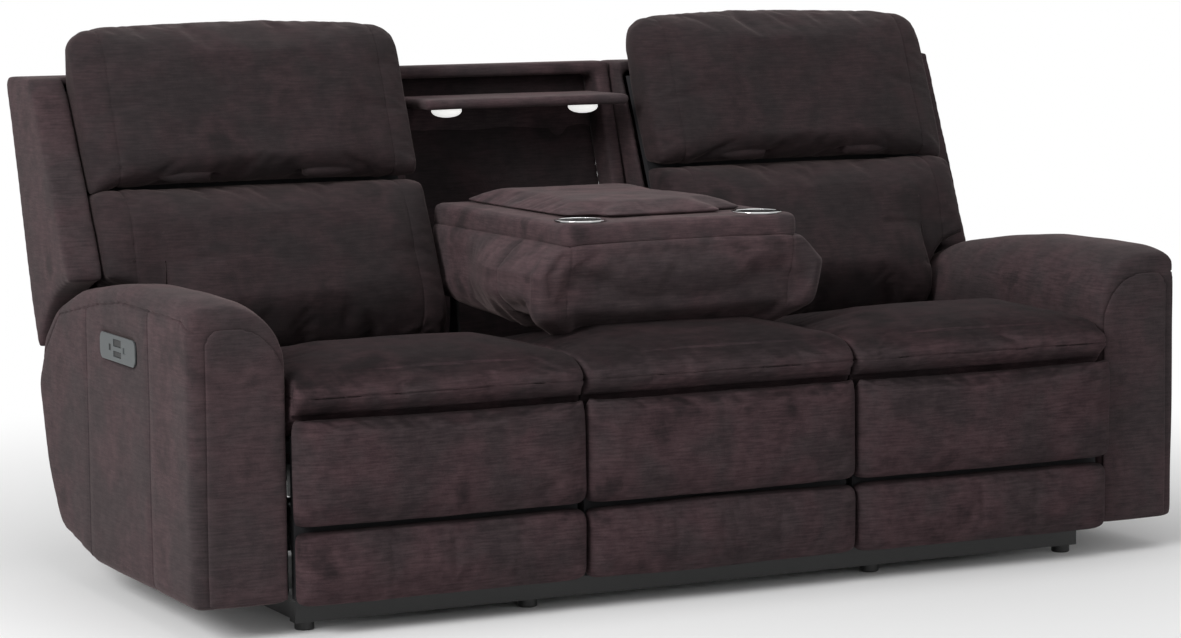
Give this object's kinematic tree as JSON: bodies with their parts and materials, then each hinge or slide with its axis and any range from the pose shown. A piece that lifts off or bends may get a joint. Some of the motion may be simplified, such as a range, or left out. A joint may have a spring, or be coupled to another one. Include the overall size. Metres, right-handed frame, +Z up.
{
  "type": "reclining sofa with drop down console",
  "caption": "Three-seat power reclining sofa with padded arms; the middle backrest folds down into a table with cup holders below a light bar.",
  "frame": {"origin": "on the floor, under the middle of the sofa's overall length and depth", "axes": "+X along the length to the sitter's left, which is the right-hand end seen from the front; +Y towards the back; +Z up"},
  "size_m": [2.2, 1.17, 1.13],
  "materials": {
    "arm_fabric": "brushed suede-like weave, lighter brown",
    "cushion_fabric": "brushed suede-like weave, dark brown",
    "recess_fabric": "near-black woven lining",
    "black_steel": "black powder coat",
    "grey_steel": "grey enamel",
    "board_lining": "black dust cover stapled over boards",
    "black_plastic": "fine grain",
    "grey_plastic": "satin",
    "lens": "frosted white",
    "chrome": "polished"
  },
  "bodies": {
    "base": {"cross_rails": "black_steel", "base_rails": "black_steel", "feet": "black_plastic", "mechanism_plates": "black_steel", "cross_beams": "black_steel", "seat_decks": "board_lining", "middle_box": "board_lining", "left_seat_cushion": "cushion_fabric", "middle_seat_cushion": "cushion_fabric", "right_seat_cushion": "cushion_fabric", "middle_leg_pad": "cushion_fabric", "middle_foot_pad": "cushion_fabric", "left_arm": "arm_fabric", "right_arm": "arm_fabric", "left_arm_panel": "arm_fabric", "right_arm_panel": "arm_fabric", "control_panels": "grey_plastic", "drive_housings": "black_plastic", "table_brackets": "black_steel", "middle_back_frame": "cushion_fabric", "middle_back_panel": "recess_fabric", "light_flap": "cushion_fabric"},
    "left_lift": {"left_lift_links": "grey_steel"},
    "left_reach": {"left_reach_links": "grey_steel"},
    "left_leg_rest": {"left_leg_board": "board_lining", "left_leg_pad": "cushion_fabric", "left_foot_pad": "cushion_fabric"},
    "left_leg_slider": {"left_leg_rod": "grey_steel"},
    "left_back": {"left_back_frame": "board_lining", "left_back_shell": "arm_fabric", "left_back_cushion": "cushion_fabric"},
    "left_back_slider": {"left_back_rod": "grey_steel"},
    "left_head": {"left_headrest": "cushion_fabric", "left_headrest_frame": "grey_steel"},
    "left_recline_key": {"left_recline_rocker": "black_plastic"},
    "left_headrest_key": {"left_headrest_rocker": "black_plastic"},
    "left_home_key": {"left_home_button": "black_plastic"},
    "right_lift": {"right_lift_links": "grey_steel"},
    "right_reach": {"right_reach_links": "grey_steel"},
    "right_leg_rest": {"right_leg_board": "board_lining", "right_leg_pad": "cushion_fabric", "right_foot_pad": "cushion_fabric"},
    "right_leg_slider": {"right_leg_rod": "grey_steel"},
    "right_back": {"right_back_frame": "board_lining", "right_back_shell": "arm_fabric", "right_back_cushion": "cushion_fabric"},
    "right_back_slider": {"right_back_rod": "grey_steel"},
    "right_head": {"right_headrest": "cushion_fabric", "right_headrest_frame": "grey_steel"},
    "right_recline_key": {"right_recline_rocker": "black_plastic"},
    "right_headrest_key": {"right_headrest_rocker": "black_plastic"},
    "right_home_key": {"right_home_button": "black_plastic"},
    "table": {"table_tray": "cushion_fabric", "table_cushion": "cushion_fabric", "table_pad": "cushion_fabric", "cup_holders": "chrome", "table_arms": "black_steel"},
    "light": {"light_bar": "cushion_fabric", "light_lenses": "lens"}
  },
  "joints": [
    {"name": "left_leg_lift", "type": "hinge", "parent": "base", "child": "left_lift", "pos_m": [-0.602, -0.323, 0.291], "axis": [-1, 0, 0], "range_deg": [0, 49.5]},
    {"name": "left_leg_reach", "type": "hinge", "parent": "left_lift", "child": "left_reach", "pos_m": [-0.602, -0.44606, 0.08147], "axis": [-1, 0, 0], "range_deg": [-99, 0]},
    {"name": "left_leg_swing", "type": "hinge", "parent": "left_reach", "child": "left_leg_rest", "pos_m": [-0.602, -0.49254, 0.31998], "axis": [-1, 0, 0], "range_deg": [0, 134.5]},
    {"name": "left_leg_drive", "type": "slide", "parent": "base", "child": "left_leg_slider", "axis": [0, -1, 0], "range_m": [0, 0.0755]},
    {"name": "left_recline", "type": "hinge", "parent": "base", "child": "left_back", "pos_m": [-0.602, 0.115, 0.32], "axis": [-1, 0, 0], "range_deg": [0, 28]},
    {"name": "left_back_drive", "type": "slide", "parent": "base", "child": "left_back_slider", "axis": [0, -1, 0], "range_m": [0, 0.052]},
    {"name": "left_headrest_tilt", "type": "hinge", "parent": "left_back", "child": "left_head", "pos_m": [-0.652, 0.26962, 0.815], "axis": [1, 0, 0], "range_deg": [0, 35]},
    {"name": "left_recline_switch", "type": "hinge", "parent": "base", "child": "left_recline_key", "pos_m": [-1.0955, -0.13, 0.525], "axis": [0, 0, 1], "range_deg": [-5, 5], "stiffness_Nm_per_rad": 0.05},
    {"name": "left_headrest_switch", "type": "hinge", "parent": "base", "child": "left_headrest_key", "pos_m": [-1.0955, -0.13, 0.503], "axis": [0, 0, 1], "range_deg": [-5, 5], "stiffness_Nm_per_rad": 0.05},
    {"name": "left_home_push", "type": "slide", "parent": "base", "child": "left_home_key", "axis": [1, 0, 0], "range_m": [0, 0.0015], "stiffness_N_per_m": 300},
    {"name": "right_leg_lift", "type": "hinge", "parent": "base", "child": "right_lift", "pos_m": [0.602, -0.323, 0.291], "axis": [-1, 0, 0], "range_deg": [0, 49.5]},
    {"name": "right_leg_reach", "type": "hinge", "parent": "right_lift", "child": "right_reach", "pos_m": [0.602, -0.44606, 0.08147], "axis": [-1, 0, 0], "range_deg": [-99, 0]},
    {"name": "right_leg_swing", "type": "hinge", "parent": "right_reach", "child": "right_leg_rest", "pos_m": [0.602, -0.49254, 0.31998], "axis": [-1, 0, 0], "range_deg": [0, 134.5]},
    {"name": "right_leg_drive", "type": "slide", "parent": "base", "child": "right_leg_slider", "axis": [0, -1, 0], "range_m": [0, 0.0755]},
    {"name": "right_recline", "type": "hinge", "parent": "base", "child": "right_back", "pos_m": [0.602, 0.115, 0.32], "axis": [-1, 0, 0], "range_deg": [0, 28]},
    {"name": "right_back_drive", "type": "slide", "parent": "base", "child": "right_back_slider", "axis": [0, -1, 0], "range_m": [0, 0.052]},
    {"name": "right_headrest_tilt", "type": "hinge", "parent": "right_back", "child": "right_head", "pos_m": [0.652, 0.26962, 0.815], "axis": [1, 0, 0], "range_deg": [0, 35]},
    {"name": "right_recline_switch", "type": "hinge", "parent": "base", "child": "right_recline_key", "pos_m": [1.0955, -0.13, 0.525], "axis": [0, 0, 1], "range_deg": [-5, 5], "stiffness_Nm_per_rad": 0.05},
    {"name": "right_headrest_switch", "type": "hinge", "parent": "base", "child": "right_headrest_key", "pos_m": [1.0955, -0.13, 0.503], "axis": [0, 0, 1], "range_deg": [-5, 5], "stiffness_Nm_per_rad": 0.05},
    {"name": "right_home_push", "type": "slide", "parent": "base", "child": "right_home_key", "axis": [-1, 0, 0], "range_m": [0, 0.0015], "stiffness_N_per_m": 300},
    {"name": "table_fold", "type": "hinge", "parent": "base", "child": "table", "pos_m": [0, 0.175, 0.571], "axis": [-1, 0, 0], "range_deg": [0, 108]},
    {"name": "light_fold", "type": "hinge", "parent": "base", "child": "light", "pos_m": [0, 0.519, 0.941], "axis": [1, 0, 0], "range_deg": [0, 72.1]}
  ],
  "couplings": [
    {"joint": "left_leg_reach", "follows": "left_leg_lift", "ratio": -2},
    {"joint": "left_leg_swing", "follows": "left_leg_lift", "ratio": 2.717},
    {"joint": "left_leg_drive", "follows": "left_leg_lift", "m_per_rad": 0.087},
    {"joint": "left_back_drive", "follows": "left_recline", "m_per_rad": 0.1056},
    {"joint": "right_leg_reach", "follows": "right_leg_lift", "ratio": -2},
    {"joint": "right_leg_swing", "follows": "right_leg_lift", "ratio": 2.717},
    {"joint": "right_leg_drive", "follows": "right_leg_lift", "m_per_rad": 0.087},
    {"joint": "right_back_drive", "follows": "right_recline", "m_per_rad": 0.1056},
    {"joint": "light_fold", "follows": "table_fold", "ratio": 0.6667}
  ]
}
